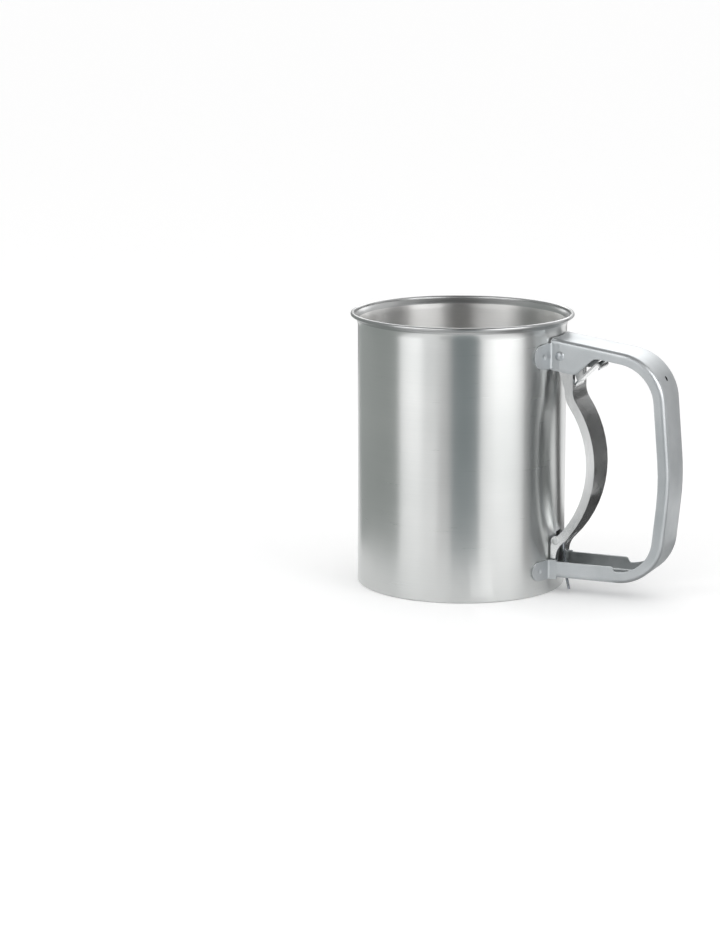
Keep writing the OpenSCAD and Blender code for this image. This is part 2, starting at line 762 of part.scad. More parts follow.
// Route of the spring wire: the tail, the long leg inside the bow, the coil and the short leg
coil_sweep = 360 * coil_turns + 90;
coil_steps = turn_steps * coil_sweep / 360;
spring_route = concat(
    [
        [cup_r + tail_reach, -tail_side, tail_z],
        [leg_x, leg_in_y, leg_z - wire_d],
        [leg_x, leg_in_y, leg_z + wire_d],
        [leg_rest_x, leg_y, foot_top_z],
        [leg_rest_x, leg_y, notch_z]
    ],
    [for (p = trigger_line(leg_depth)) if (p.y > leg_join_z) [p.x, leg_y, p.y]],
    [[pivot_x - coil_r, leg_y, pivot_z - coil_r]],
    [
        for (i = [0:coil_steps])
            let (t = i / coil_steps, a = 180 - coil_sweep * t)
            [pivot_x + coil_r * cos(a), leg_y + coil_len * t, pivot_z + coil_r * sin(a)]
    ],
    [
        [pivot_x + coil_r, -leg_y, pivot_z + coil_r],
        [pivot_x + short_leg, -leg_y, pivot_z + short_leg_drop]
    ]
);

// Least gap of the wire to itself, measured from point to point past its nearest rings
near_rings = 5;
coil_gap = min([
    for (i = [0:len(spring_route) - 1], j = [i + near_rings:1:len(spring_route) - 1])
        norm(spring_route[i] - spring_route[j])
]) - wire_d;
echo(least_gap_of_spring_to_itself = coil_gap);

// Tube of n sides along a route, as one closed skin of triangles
function along(p, i) = unit(p[min(i + 1, len(p) - 1)] - p[max(i - 1, 0)]);
function across_axis(t) = unit(cross(t, abs(t.y) < 0.9 ? [0, 1, 0] : [1, 0, 0]));
module tube(p, r, n) {
    m = len(p);
    skin = [
        for (i = [0:m - 1])
            let (t = along(p, i), u = across_axis(t), v = cross(t, u))
            for (k = [0:n - 1]) p[i] + r * (cos(360 * k / n) * u + sin(360 * k / n) * v)
    ];
    walls = [
        for (i = [0:m - 2], k = [0:n - 1])
            let (a = i * n + k, b = i * n + (k + 1) % n)
            each [[a, b + n, b], [a, a + n, b + n]]
    ];
    ends = [for (k = [1:n - 2]) each [[0, k, k + 1], [(m - 1) * n, (m - 1) * n + k + 1, (m - 1) * n + k]]];
    polyhedron(skin, concat(walls, ends));
}

module return_spring() {
    color("slategray") tube(spring_route, wire_r, wire_sides);
}

module link_pin() {
    color("silver") translate([link_pin_x, 0, link_z])
        riveted_pin(link_pin_d, trigger_w + 2 * seat_fit, link_head_d, link_head_h);
}

module link_collar(side) {
    inner = link_w / 2 + end_play;
    outer = trigger_in_w / 2 - seat_fit;
    color("silver") translate([link_pin_x, side * (inner + outer) / 2, link_z]) difference() {
        y_pin(collar_r, outer - inner);
        y_pin(link_pin_d / 2 + seat_fit, trigger_w);
    }
}

module link_collar_near() {
    link_collar(-1);
}

module link_collar_far() {
    link_collar(1);
}

module drive_link() {
    half = link_w / 2;
    elbow_x = link_pin_x - link_straight;
    color("silver") difference() {
        union() {
            translate([0, 0, link_z - link_t / 2]) linear_extrude(link_t) {
                translate([elbow_x, -half]) square([link_straight, link_w]);
                translate([elbow_x, 0]) circle(d = link_w);
                polygon(link_arm([elbow_x, 0], [peg_x, peg_y], half));
                translate([peg_x, peg_y]) circle(d = link_w);
            }
            translate([link_pin_x, 0, link_z]) y_pin(eye_r, link_w);
        }
        translate([link_pin_x, 0, link_z]) y_pin(link_pin_d / 2 + run_fit, link_w + 2 * reach_past);
        translate([peg_x, peg_y, link_z - link_t]) cylinder(d = peg_d + 2 * seat_fit, h = 2 * link_t);
    }
}

// Straight arm of a given half width between two points
function link_arm(a, b, half) =
    let (n = half * right_of(a, b)) [a + n, b + n, b - n, a - n];

module drive_peg() {
    color("gray") translate([peg_x, peg_y, 0]) {
        translate([0, 0, peg_z]) cylinder(d = peg_d, h = link_z + link_t / 2 - peg_z);
        translate([0, 0, link_z + link_t / 2]) dome(peg_head_d, peg_head_h);
    }
}

cup_shell();
screen_seat_ring();
screen_mesh();
screen_clamp_ring();
bearing_bush();
backing_washer();
axle();
axle_washer();
rotor_spacer();
rotor_wheel();
hub_disc();
handle();
pivot_pin();
pivot_washer_near();
pivot_washer_far();
trigger();
return_spring();
link_pin();
link_collar_near();
link_collar_far();
drive_link();
drive_peg();
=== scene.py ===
import math
import bpy
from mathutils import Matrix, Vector


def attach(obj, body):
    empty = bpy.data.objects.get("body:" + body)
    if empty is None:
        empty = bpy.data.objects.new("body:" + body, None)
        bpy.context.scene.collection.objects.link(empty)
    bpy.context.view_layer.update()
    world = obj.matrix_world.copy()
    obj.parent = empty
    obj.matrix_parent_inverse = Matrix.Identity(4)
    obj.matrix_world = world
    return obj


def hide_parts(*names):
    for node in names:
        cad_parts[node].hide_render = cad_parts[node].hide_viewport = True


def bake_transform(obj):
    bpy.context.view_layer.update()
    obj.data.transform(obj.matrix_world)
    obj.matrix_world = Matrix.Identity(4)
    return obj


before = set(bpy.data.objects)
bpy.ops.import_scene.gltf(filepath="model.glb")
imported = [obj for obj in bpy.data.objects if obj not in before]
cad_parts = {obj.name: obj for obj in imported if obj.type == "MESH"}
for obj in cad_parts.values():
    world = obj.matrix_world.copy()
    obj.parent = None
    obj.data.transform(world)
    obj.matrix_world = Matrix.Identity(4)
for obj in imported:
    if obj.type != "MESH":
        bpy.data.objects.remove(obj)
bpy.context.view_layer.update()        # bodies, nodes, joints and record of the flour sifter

scene = bpy.context.scene
scene.view_settings.view_transform = "Standard"
mm = 0.001
mergeGap = 0.002 * mm                       # points closer than this are one


# small tools for the work in edit mode

def putDown():                              # back to object mode with nothing selected
    if bpy.context.object and bpy.context.object.mode != "OBJECT":
        bpy.ops.object.mode_set(mode="OBJECT")
    bpy.ops.object.select_all(action="DESELECT")


def takeUp(piece):                          # this one piece selected and active
    putDown()
    piece.select_set(True)
    bpy.context.view_layer.objects.active = piece


def named(name):                            # the object that an operator has just made
    piece = bpy.context.object
    piece.name = piece.data.name = name
    return piece


def work(piece, kind, **settings):          # one modifier, set and applied
    takeUp(piece)
    tool = piece.modifiers.new(kind.title(), kind)
    for key, value in settings.items():
        setattr(tool, key, value)
    bpy.ops.object.modifier_apply(modifier=tool.name)


def cutAway(piece, cutter):                 # boolean cut; the cutter is used up
    work(piece, "BOOLEAN", operation="DIFFERENCE", solver="EXACT", object=cutter)
    bpy.data.objects.remove(cutter, do_unlink=True)


def boreOut(piece, radius, deep, sides, spot=(0, 0, 0), turn=(0, 0, 0)):        # round cut, sizes in mm
    putDown()
    bpy.ops.mesh.primitive_cylinder_add(vertices=sides, radius=radius * mm, depth=deep * mm,
                                        location=[size * mm for size in spot], rotation=turn)
    cutAway(piece, bpy.context.object)


def smoothFaces(piece, angle):              # smooth shading, with edges sharper than the angle kept
    takeUp(piece)
    bpy.ops.object.shade_smooth_by_angle(angle=math.radians(angle))


def mergeAll(piece, outward=True):          # doubles merged, and a closed shape turned outward
    takeUp(piece)
    bpy.ops.object.mode_set(mode="EDIT")
    bpy.ops.mesh.select_all(action="SELECT")
    bpy.ops.mesh.remove_doubles(threshold=mergeGap)
    if outward:
        bpy.ops.mesh.normals_make_consistent(inside=False)
    putDown()


def faceOut(piece, index, outward):         # turns an open sheet so that this face looks outward
    if piece.data.polygons[index].normal.dot(outward) < 0:
        takeUp(piece)
        bpy.ops.object.mode_set(mode="EDIT")
        bpy.ops.mesh.select_all(action="SELECT")
        bpy.ops.mesh.flip_normals()
        putDown()


def handIn(piece, body, material, node):      # finish, node that it stands for, and body
    if material:                            # None where the piece already has its materials
        piece.data.materials.clear()
        piece.data.materials.append(material)
    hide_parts(node)
    if body:                                # None where the piece is attached to no body
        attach(piece, body)
    print("made", piece.name, len(piece.data.polygons), "faces")


# lines in the X-Z plane, in mm; a corner is (x, z, radius)
hardlyBent = 0.002                          # radians; a smaller bend stays a corner
hardlyCross = 1e-9                          # lines with a smaller cross product don't meet
endSlack = 1e-6                             # a crossing may miss an end by this share


def arcPoints(cx, cz, r, a, b, stepDeg=5):  # an arc from angle a to b, in degrees
    steps = max(2, math.ceil(abs(b - a) / stepDeg))
    turns = [math.radians(a + (b - a) * i / steps) for i in range(steps + 1)]
    return [Vector((cx + r * math.cos(t), cz + r * math.sin(t))) for t in turns]


def roundPath(corners, stepDeg=4):          # straight runs with the corners rounded
    points = [Vector(corners[0][:2])]
    for before, corner, after in zip(corners, corners[1:], corners[2:]):
        here = Vector(corner[:2])
        u = (here - Vector(before[:2])).normalized()
        v = (Vector(after[:2]) - here).normalized()
        bend = math.acos(max(-1, min(1, u.dot(v))))
        if corner[2] == 0 or bend < hardlyBent:
            points.append(here)
            continue
        side = 1 if u.cross(v) < 0 else -1             # 1 turns to the right
        inward = side * Vector((u.y, -u.x))
        centre = here - corner[2] * math.tan(bend / 2) * u + corner[2] * inward
        start = math.degrees(math.atan2(-inward.y, -inward.x))
        points += arcPoints(*centre, corner[2], start, start - side * math.degrees(bend), stepDeg)
    return points + [Vector(corners[-1][:2])]


def evenPoints(points, step):               # the same line with no stretch longer than step
    out = [points[0]]
    for a, b in zip(points, points[1:]):
        n = max(1, math.ceil((b - a).length / step))
        out += [a.lerp(b, k / n) for k in range(1, n + 1)]
    return out


def rightSide(points, i):                   # unit normal on the right of the line
    along = (points[min(i + 1, len(points) - 1)] - points[max(i - 1, 0)]).normalized()
    return Vector((along.y, -along.x))


def reachTo(start, heading, line):          # distance along heading to the first crossing of line
    best = None
    for a, b in zip(line, line[1:]):
        edge = b - a
        det = heading.cross(edge)
        if abs(det) < hardlyCross:
            continue
        far = (a - start).cross(edge) / det
        share = (a - start).cross(heading) / det
        if far > 0 and -endSlack <= share <= 1 + endSlack and (best is None or far < best):
            best = far
    return best


def drawLine(name, points):                 # a chain of edges, extruded from one point
    putDown()
    bpy.ops.mesh.primitive_plane_add(size=mm)
    piece = named(name)
    bpy.ops.object.mode_set(mode="EDIT")
    bpy.ops.mesh.select_all(action="SELECT")
    bpy.ops.mesh.merge(type="CENTER")
    bpy.ops.transform.translate(value=points[0] * mm)
    for a, b in zip(points, points[1:]):
        bpy.ops.mesh.extrude_region_move(TRANSFORM_OT_translate={"value": (b - a) * mm})
    putDown()
    return piece


def layGrid(name, countU, countV, place):   # a grid whose point (i, j) goes to place(i, j), in mm
    putDown()
    bpy.ops.mesh.primitive_grid_add(x_subdivisions=countU, y_subdivisions=countV, size=1)
    piece = named(name)
    for v in piece.data.vertices:
        i, j = round((v.co.x + 0.5) * countU), round((v.co.y + 0.5) * countV)
        v.co = Vector(place(i, j)) * mm
    return piece


# materials

def toLinear(code):                         # sRGB hex to a linear colour
    parts = [int(code[i:i + 2], 16) / 255 for i in (1, 3, 5)]
    return [c / 12.92 if c <= 0.04045 else ((c + 0.055) / 1.055) ** 2.4 for c in parts] + [1]


def addNode(tree, kind, settings=None, **inputs):       # an input goes by its name, or by number as _0
    node = tree.nodes.new(kind)
    for key, value in (settings or {}).items():
        setattr(node, key, value)
    for key, value in inputs.items():
        socket = node.inputs[int(key[1:])] if key[1:].isdigit() else node.inputs[key.replace("_", " ")]
        if isinstance(value, bpy.types.NodeSocket):
            tree.links.new(value, socket)
        else:
            socket.default_value = value
    return node


def emptyTree(owner):                       # the node tree of a material or world, with nothing in it
    owner.use_nodes = True
    owner.node_tree.nodes.clear()
    return owner.node_tree


grainLow, grainHigh = 0.25, 0.75            # the part of its range that the grain's noise mostly fills
cloudLow, cloudHigh = 0.3, 0.7


def makeSteel(name, look):
    material = bpy.data.materials.new(name)
    tree = emptyTree(material)
    place = addNode(tree, "ShaderNodeTexCoord")
    # grain: sizes in mm along X, Y and Z, long along the way of the brush
    stretch = addNode(tree, "ShaderNodeMapping", Vector=place.outputs["Object"],
                      Scale=[1 / (size * mm) for size in look["grainMm"]])
    grain = addNode(tree, "ShaderNodeTexNoise", Vector=stretch.outputs[0],
                    Scale=1.0, Detail=3.0, Roughness=0.6)
    # cloud: slow change of tone left by rolling and handling
    cloud = addNode(tree, "ShaderNodeTexNoise", Vector=place.outputs["Object"],
                    Scale=1 / (look["cloudMm"] * mm), Detail=2.0, Roughness=0.5)
    tone = addNode(tree, "ShaderNodeMapRange", _0=cloud.outputs[0], _1=cloudLow, _2=cloudHigh, _3=0.0, _4=1.0)
    streak = addNode(tree, "ShaderNodeMapRange", _0=grain.outputs[0], _1=grainLow, _2=grainHigh,
                     _3=-look["streak"], _4=look["streak"])
    share = addNode(tree, "ShaderNodeMath", {"operation": "ADD", "use_clamp": True},
                    _0=tone.outputs[0], _1=streak.outputs[0])
    colour = addNode(tree, "ShaderNodeMix", {"data_type": "RGBA"}, _0=share.outputs[0],
                     _6=toLinear(look["shade"]), _7=toLinear(look["light"]))
    rough = addNode(tree, "ShaderNodeMapRange", _0=grain.outputs[0], _1=grainLow, _2=grainHigh,
                    _3=look["rough"] - look["spread"], _4=look["rough"] + look["spread"])
    bump = addNode(tree, "ShaderNodeBump", Strength=look["bump"], Distance=look["deepMm"] * mm,
                   Height=grain.outputs[0])
    shader = addNode(tree, "ShaderNodeBsdfPrincipled", Base_Color=colour.outputs[2], Metallic=1.0,
                     Roughness=rough.outputs[0], Normal=bump.outputs[0],
                     Anisotropic=look.get("brushed", 0.0), Anisotropic_Rotation=look.get("brushTurn", 0.0))
    addNode(tree, "ShaderNodeOutputMaterial", Surface=shader.outputs[0])
    return material


# stainless sheet, satin-brushed round the cup: upright bands of light with soft edges
cupSteel = makeSteel("stainless sheet, brushed round", {
    "light": "#d2d3d2", "shade": "#c7c9c8", "rough": 0.30, "spread": 0.03,
    "grainMm": (40, 40, 0.5), "cloudMm": 45, "streak": 0.15, "bump": 0.02, "deepMm": 0.02,
    "brushed": 0.85, "brushTurn": 0.25})
# the same sheet inside the cup, brushed coarser: each band of light runs the full height of the wall; its
# lighter colour is painted light
insideSteelPaintedLight = makeSteel("stainless sheet, brushed coarse inside, painted lighter", {
    "light": "#e2e1df", "shade": "#d6d6d5", "rough": 0.46, "spread": 0.03,
    "grainMm": (40, 40, 0.5), "cloudMm": 45, "streak": 0.2, "bump": 0.03, "deepMm": 0.02,
    "brushed": 0.95, "brushTurn": 0.25})
# the same sheet where it is flared and rolled into the rim: satin, with the brush lines stretched away, and
# painted darker as shade for the dark reflection on the flare
rimSteelPaintedShade = makeSteel("stainless sheet, rolled rim in painted shade", {
    "light": "#b2b3b3", "shade": "#a6a7a7", "rough": 0.30, "spread": 0.02,
    "grainMm": (12, 12, 2), "cloudMm": 20, "streak": 0.15, "bump": 0.01, "deepMm": 0.02})
# stainless strip, pressed and tumbled: an even grey satin with a fine grain
handleSteel = makeSteel("stainless strip, pressed and tumbled", {
    "light": "#c4c7c9", "shade": "#b6babc", "rough": 0.44, "spread": 0.05,
    "grainMm": (0.6, 0.6, 0.6), "cloudMm": 14, "streak": 0.3, "bump": 0.08, "deepMm": 0.03})
# the same strip inside the channel: darker and a little duller, which is painted shade for the shade that
# falls inside the channel
channelPaintedShade = makeSteel("stainless strip inside the channel, painted shade", {
    "light": "#b6b9ba", "shade": "#a4a7a8", "rough": 0.42, "spread": 0.06,
    "grainMm": (3, 0.6, 3), "cloudMm": 10, "streak": 0.4, "bump": 0.08, "deepMm": 0.03})
# bore of the punched hole: dark and dull, painted shade for the shaded inside of the hole
holeBorePaintedShade = makeSteel("stainless strip, hole bore in painted shade", {
    "light": "#46484a", "shade": "#333537", "rough": 0.55, "spread": 0.08,
    "grainMm": (0.3, 0.3, 0.3), "cloudMm": 2, "streak": 0.4, "bump": 0.15, "deepMm": 0.03})
# stainless strip, pressed and polished: clear dark and light reflections
triggerSteel = makeSteel("stainless strip, pressed and polished", {
    "light": "#dedfdf", "shade": "#d2d4d4", "rough": 0.18, "spread": 0.04,
    "grainMm": (0.8, 0.8, 3), "cloudMm": 12, "streak": 0.3, "bump": 0.04, "deepMm": 0.02})
# rolled stainless wire and angle rings: bright with a soft sheen
ringSteel = makeSteel("stainless ring, roll-formed", {
    "light": "#cccfd3", "shade": "#bcc0c5", "rough": 0.24, "spread": 0.05,
    "grainMm": (6, 6, 0.4), "cloudMm": 10, "streak": 0.3, "bump": 0.05, "deepMm": 0.02})
# drawn stainless wire, woven: small broken glints
netWire = makeSteel("stainless wire, drawn and woven", {
    "light": "#c9cccf", "shade": "#b2b6ba", "rough": 0.30, "spread": 0.06,
    "grainMm": (0.8, 0.8, 0.8), "cloudMm": 7, "streak": 0.3, "bump": 0.04, "deepMm": 0.02})
# stamped steel plate, tumbled: a darker grey with handling marks
wheelSteel = makeSteel("steel plate, stamped and tumbled", {
    "light": "#b8bbbe", "shade": "#a0a3a6", "rough": 0.34, "spread": 0.07,
    "grainMm": (0.9, 0.9, 0.9), "cloudMm": 9, "streak": 0.4, "bump": 0.10, "deepMm": 0.04})
# turned steel: rings of tool marks round the axle
bearingSteel = makeSteel("steel, turned", {
    "light": "#b4b7ba", "shade": "#9a9da1", "rough": 0.28, "spread": 0.06,
    "grainMm": (5, 5, 0.35), "cloudMm": 6, "streak": 0.4, "bump": 0.08, "deepMm": 0.03})
# cold-headed steel rivets: smooth heads with a small soft highlight
rivetSteel = makeSteel("steel rivet, cold-headed", {
    "light": "#c0c3c6", "shade": "#b4b8bb", "rough": 0.46, "spread": 0.05,
    "grainMm": (0.5, 0.5, 0.5), "cloudMm": 4, "streak": 0.3, "bump": 0.06, "deepMm": 0.02})
# the link's rivet, ground after heading: a soft sheen that hardly stands out from the trigger
pinSteel = makeSteel("steel rivet, ground", {
    "light": "#d4d5d5", "shade": "#c8caca", "rough": 0.45, "spread": 0.04,
    "grainMm": (0.5, 0.5, 0.5), "cloudMm": 4, "streak": 0.3, "bump": 0.04, "deepMm": 0.02})
# hard-drawn spring wire: a darker grey with die lines along it
springWire = makeSteel("spring wire, hard-drawn", {
    "light": "#b0b4b9", "shade": "#989ca2", "rough": 0.27, "spread": 0.05,
    "grainMm": (0.4, 0.4, 5), "cloudMm": 6, "streak": 0.4, "bump": 0.06, "deepMm": 0.02})
# blanked steel strip with a bright mill finish
linkSteel = makeSteel("steel strip, blanked", {
    "light": "#bcc0c4", "shade": "#a5a9ae", "rough": 0.30, "spread": 0.06,
    "grainMm": (4, 0.5, 0.5), "cloudMm": 8, "streak": 0.4, "bump": 0.07, "deepMm": 0.03})
print("materials made", len(bpy.data.materials))


# camera at the photo's viewing angle
view = {"place": (510.2, -1314.7, 344.9), "azimuth": 23.2, "downward": 11.55, "lens": 115.55, "sensor": 36,
        "farClip": 20}
putDown()
bpy.ops.object.camera_add(
    location=Vector(view["place"]) * mm,
    rotation=(math.radians(90 - view["downward"]), 0, math.radians(view["azimuth"])))
camera = bpy.context.object
camera.data.lens = view["lens"]
camera.data.sensor_width = view["sensor"]
camera.data.sensor_fit = "AUTO"
camera.data.clip_end = view["farClip"]
scene.camera = camera


# studio: white surround, pale floor, two soft boxes and cards that only gloss can see
studio = {"floorSize": 40, "floorDrop": 0.05, "floorColour": "#f4f4f4", "floorGlow": 0.14, "fill": 0.92,
          "aim": (0, 0, 0.06)}


def seenShare(tree):                        # 1 for rays of the camera, of gloss and through glass, else 0
    rays = addNode(tree, "ShaderNodeLightPath")
    seen = addNode(tree, "ShaderNodeMath", {"operation": "MAXIMUM"},
                   _0=rays.outputs["Is Camera Ray"], _1=rays.outputs["Is Glossy Ray"])
    seen = addNode(tree, "ShaderNodeMath", {"operation": "MAXIMUM"},
                   _0=seen.outputs[0], _1=rays.outputs["Is Transmission Ray"])
    return seen.outputs[0]


world = bpy.data.worlds.new("studio")
scene.world = world
tree = emptyTree(world)
level = addNode(tree, "ShaderNodeMapRange", _0=seenShare(tree), _1=0.0, _2=1.0, _3=studio["fill"], _4=1.0)
backing = addNode(tree, "ShaderNodeBackground", Color=(1, 1, 1, 1), Strength=level.outputs[0])
addNode(tree, "ShaderNodeOutputWorld", Surface=backing.outputs[0])

putDown()
bpy.ops.mesh.primitive_plane_add(size=studio["floorSize"], location=(0, 0, -studio["floorDrop"] * mm))
floor = named("floor")
# matt paper: an even white without gloss that keeps a soft shadow
paper = bpy.data.materials.new("matt white paper sweep")
tree = emptyTree(paper)
glow = addNode(tree, "ShaderNodeMath", {"operation": "MULTIPLY"}, _0=seenShare(tree), _1=studio["floorGlow"])
shader = addNode(tree, "ShaderNodeBsdfPrincipled", Base_Color=toLinear(studio["floorColour"]), Roughness=0.9,
                 Emission_Color=(1, 1, 1, 1), Emission_Strength=glow.outputs[0])
addNode(tree, "ShaderNodeOutputMaterial", Surface=shader.outputs[0])
floor.data.materials.append(paper)

# soft boxes: azimuth round the cup from +X, distance and height in metres
softBoxes = {
    "left box": {"azimuth": -127, "far": 1.1, "high": 0.55, "size": (0.6, 0.9), "power": 1.9},
    "right box": {"azimuth": -21, "far": 1.0, "high": 0.5, "size": (0.6, 0.9), "power": 2.3},
}
for name, lamp in softBoxes.items():
    turn = math.radians(lamp["azimuth"])
    spot = Vector((lamp["far"] * math.cos(turn), lamp["far"] * math.sin(turn), lamp["high"]))
    bpy.ops.object.light_add(type="AREA", location=spot)
    box = named(name)
    box.rotation_euler = (Vector(studio["aim"]) - spot).to_track_quat("-Z", "Y").to_euler()
    box.data.shape = "RECTANGLE"
    box.data.size, box.data.size_y = lamp["size"]
    box.data.energy = lamp["power"]
    box.visible_camera = False

# cards that only gloss can see: azimuths round the cup, tone, and a section of (distance, height) in metres
onFloor, justAbove = 0.0003, 0.001
highBand = [(0.40, 0.18), (0.40, 0.38)]
overhead = [(0.40, 0.38), (0.05, 0.8)]
cards = {
    "front flag": {"from": -80, "to": -50, "tone": 0.35, "tint": "#ebf8fb",
                   "section": [(0.10, onFloor), (0.42, onFloor), (0.42, 0.3)]},
    "front high flag": {"from": -84, "to": -46, "tone": 0.05, "section": highBand},
    "front ceiling": {"from": -108, "to": 0, "tone": 0.10, "section": overhead},
    "left ceiling": {"from": -146, "to": -108, "tone": 0.45, "section": overhead},
    "front grey flag": {"from": -110, "to": -80, "tone": 0.60, "section": [(0.42, justAbove), (0.42, 0.3)]},
    "front grey foot": {"from": -94, "to": -80, "tone": 0.60, "section": [(0.12, onFloor), (0.42, onFloor)]},
    "left flag": {"from": -221, "to": -138, "tone": 0.43, "tint": "#f5fbf8",
                  "section": [(0.10, onFloor), (0.42, onFloor), (0.42, 0.6)]},
    "right flag": {"from": 0, "to": 31, "tone": 0.42,
                   "section": [(0.08, onFloor), (0.42, onFloor), (0.42, 0.6)]},
    "back flag": {"from": 52, "to": 65, "tone": 0.03, "straight": True,
                  "section": [(0.13, onFloor), (0.42, onFloor), (0.42, 0.22)]},
    "back foot": {"from": 40, "to": 112, "tone": 0.08, "section": [(0.075, onFloor), (0.16, onFloor)]},
    "near foot": {"from": -60, "to": -36, "tone": 1.25, "section": [(0.056, onFloor), (0.10, onFloor)]},
    "back low flag": {"from": 85, "to": 150, "tone": 0.35, "section": [(0.60, justAbove), (0.60, 0.28)]},
    "left high box": {"from": -130, "to": -84, "tone": 3.2, "section": highBand},
    "right high box": {"from": -46, "to": -4, "tone": 4.4, "section": highBand},
    "back high box": {"from": 75, "to": 165, "tone": 2.9, "section": [(0.60, 0.30), (0.50, 0.66)]},
    "ceiling": {"from": 0, "to": 214, "tone": 0.6, "section": [(0.50, 0.7), (0.05, 0.8)]},
}
# the nearer a point on the floor is, the more it turns in to the camera's azimuth, so that a card's
# reflection stays upright in the cup; a straight card isn't turned
cardRing = {"cup": 0.05, "far": 0.42, "camera": view["azimuth"] - 90, "stepDeg": 6}
for name, card in cards.items():
    count = math.ceil((card["to"] - card["from"]) / cardRing["stepDeg"])

    def cardPoint(i, j, card=card, count=count):
        far, high = card["section"][j]
        turn = card["from"] + (card["to"] - card["from"]) * i / count
        if high == onFloor and "straight" not in card:
            draw = (2 - cardRing["cup"] / far) / (2 - cardRing["cup"] / cardRing["far"])
            turn = cardRing["camera"] + (turn - cardRing["camera"]) * draw
        turn = math.radians(turn)
        return far / mm * math.cos(turn), far / mm * math.sin(turn), high / mm

    sheet = layGrid(name, count, len(card["section"]) - 1, cardPoint)
    paint = bpy.data.materials.new(name + " card")
    tree = emptyTree(paint)
    lit = addNode(tree, "ShaderNodeEmission", Color=toLinear(card.get("tint", "#ffffff")),
                  Strength=card["tone"])
    addNode(tree, "ShaderNodeOutputMaterial", Surface=lit.outputs[0])
    sheet.data.materials.append(paint)
    sheet.visible_camera = sheet.visible_diffuse = sheet.visible_shadow = sheet.visible_transmission = False
print("studio ready")


# cup: the section of the sheet is drawn once and spun round the axis
cup = {"radius": 50, "tall": 131.5, "sheet": 0.8, "rimOut": 3.5, "flareDeg": 55, "bead": 1.0, "hem": 3,
       "shortDeg": 8, "satinShadeRise": 2.9, "inward": -0.8, "steps": 240,
       "slot": {"wide": 6.2, "low": 24.35, "high": 28.66, "deep": 6}}
half = cup["sheet"] / 2
flareRad = math.radians(cup["flareDeg"])
flareR = (cup["rimOut"] - cup["bead"] + half) / (1 - math.cos(flareRad))
flareX = cup["radius"] - half + flareR
flareZ = cup["tall"] - cup["bead"] - flareR * math.sin(flareRad)
beadX, beadZ = cup["radius"] + cup["rimOut"] - cup["bead"], cup["tall"] - cup["bead"]
tuck = math.degrees(math.asin(half / cup["bead"]))          # where the sheet runs into its bead
meet = 270 - cup["flareDeg"]
innerR = cup["radius"] - cup["sheet"]
endTurn = 180 - cup["flareDeg"] + cup["shortDeg"]           # the flare's faces stop short of the bead
section = arcPoints(innerR, cup["sheet"], cup["sheet"], -180, 0, stepDeg=20)
section += arcPoints(flareX, flareZ, flareR - half, 180, endTurn)
section += arcPoints(beadX, beadZ, cup["bead"], meet + tuck, meet + 360 - tuck, stepDeg=12)
section += arcPoints(flareX, flareZ, flareR + half, endTurn, 180)
section += [Vector((innerR, cup["hem"])), Vector((innerR - cup["sheet"], cup["hem"])), section[0]]
cupPiece = drawLine("cupWall", [Vector((p.x, 0, p.y)) for p in section])
takeUp(cupPiece)
bpy.ops.object.mode_set(mode="EDIT")
bpy.ops.mesh.select_all(action="SELECT")
bpy.ops.mesh.spin(steps=cup["steps"], angle=2 * math.pi, center=(0, 0, 0), axis=(0, 0, 1))
putDown()
mergeAll(cupPiece)
wallSlot = cup["slot"]
putDown()
bpy.ops.mesh.primitive_cube_add(
    size=1, location=(cup["radius"] * mm, 0, (wallSlot["low"] + wallSlot["high"]) / 2 * mm),
    scale=(wallSlot["deep"] * mm, wallSlot["wide"] * mm, (wallSlot["high"] - wallSlot["low"]) * mm))
cutAway(cupPiece, bpy.context.object)
cupPiece.data.materials.append(cupSteel)
cupPiece.data.materials.append(insideSteelPaintedLight)
cupPiece.data.materials.append(rimSteelPaintedShade)
for face in cupPiece.data.polygons:         # inner wall from the hem up, painted lighter, and upper flare and bead, painted darker as shade
    outward = Vector((face.center.x, face.center.y, 0)).normalized()
    inWall = face.center.z > cup["hem"] * mm and face.normal.dot(outward) < cup["inward"]
    face.material_index = 2 if face.center.z > (flareZ + cup["satinShadeRise"]) * mm else 1 if inWall else 0
smoothFaces(cupPiece, angle=40)
handIn(cupPiece, "cup", None, "cup_shell")


# handle: one pressed strip, laid along its side line and folded into a channel
handle = {"wide": 24, "sheet": 0.9, "fold": 2.0, "flange": 5.4, "step": 0.8, "edge": 0.16, "edgeDeg": 60,
          "line": [(40, 124.76, 0), (103.6, 115.5, 25), (108.6, 57.5, 120), (103.6, 8.1, 23), (40, 8.1, 0)],
          "ear": [(40, 109.68, 0), (61.4, 106.3, 4), (70.6, 114.9, 4)],
          "channel": [(82, 13.5, 0.8), (82, 16.0, 2), (40, 16.0, 0)],
          "lap": {"r": 50.03, "tall": 300}, "relief": {"r": 50.7, "low": 120.6, "tall": 20},
          "pivot": {"x": 53.6, "z": 114.9, "r": 1.45, "deep": 30, "sides": 40},
          "bendHole": {"x": 104, "z": 105.8, "r": 1.1, "deep": 20, "sides": 32, "within": 1.02},
          "slot": {"from": 52.35, "to": 82.25, "wide": 4.5, "deep": 6, "corner": 2.0}}


def insetLine(corners, depth):              # the same corners, moved inwards
    out = []
    for i, corner in enumerate(corners):
        here = Vector(corner[:2])
        legs = [(here, Vector(c[:2])) for c in corners[i + 1:i + 2]]
        legs += [(Vector(c[:2]), here) for c in corners[max(i - 1, 0):i]]
        sides = [Vector(((b - a).normalized().y, -(b - a).normalized().x)) for a, b in legs]
        push = sides[0] if len(sides) == 1 else (sides[0] + sides[1]) / (1 + sides[0].dot(sides[1]))
        moved = here + depth * push
        out.append((moved.x, moved.y, max(corner[2] - depth, 0)))
    return out


